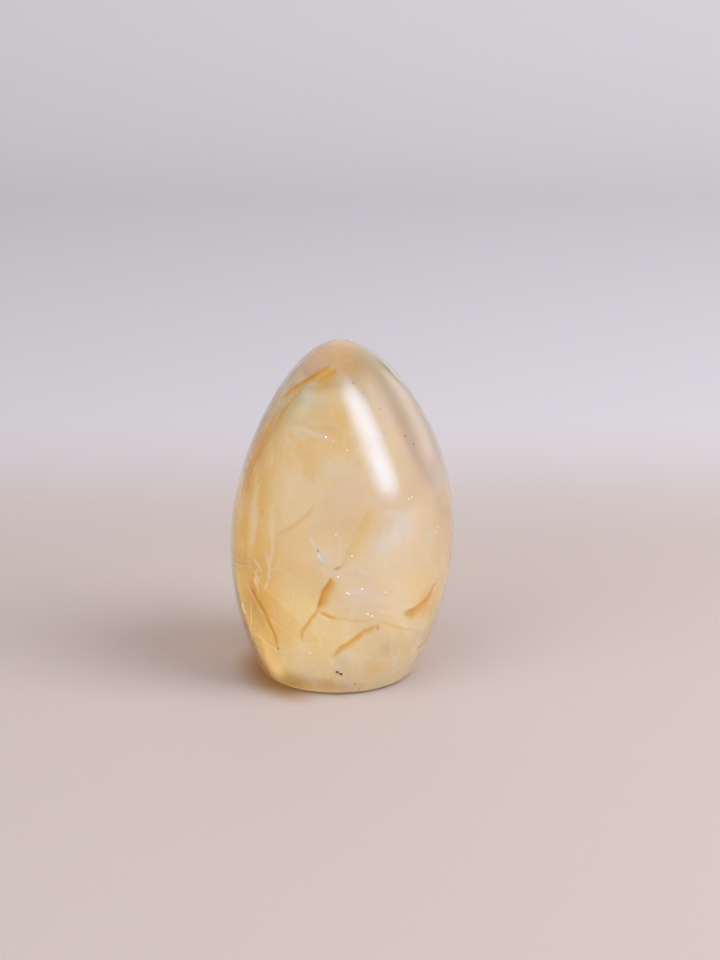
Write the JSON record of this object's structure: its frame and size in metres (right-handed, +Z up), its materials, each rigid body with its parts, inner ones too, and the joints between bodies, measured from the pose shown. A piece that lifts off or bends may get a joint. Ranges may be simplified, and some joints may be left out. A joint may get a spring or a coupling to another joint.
{
  "type": "polished golden healer quartz freeform",
  "caption": "Hand-polished golden quartz freeform: a tall egg-like translucent stone with softly ground faces and a flat cut base that it stands on.",
  "frame": {"origin": "middle of the bounding box on the flat base", "axes": "+Z up along the stone's height, -Y to the side that the picture shows, +X to that side's right"},
  "size_m": [0.051, 0.0448, 0.0779],
  "materials": {
    "golden_quartz": "hand-polished, glossy, hazy translucent golden quartz with iron-stained healed cracks"
  },
  "bodies": {
    "root": {"quartz_freeform": "golden_quartz"}
  },
  "joints": []
}
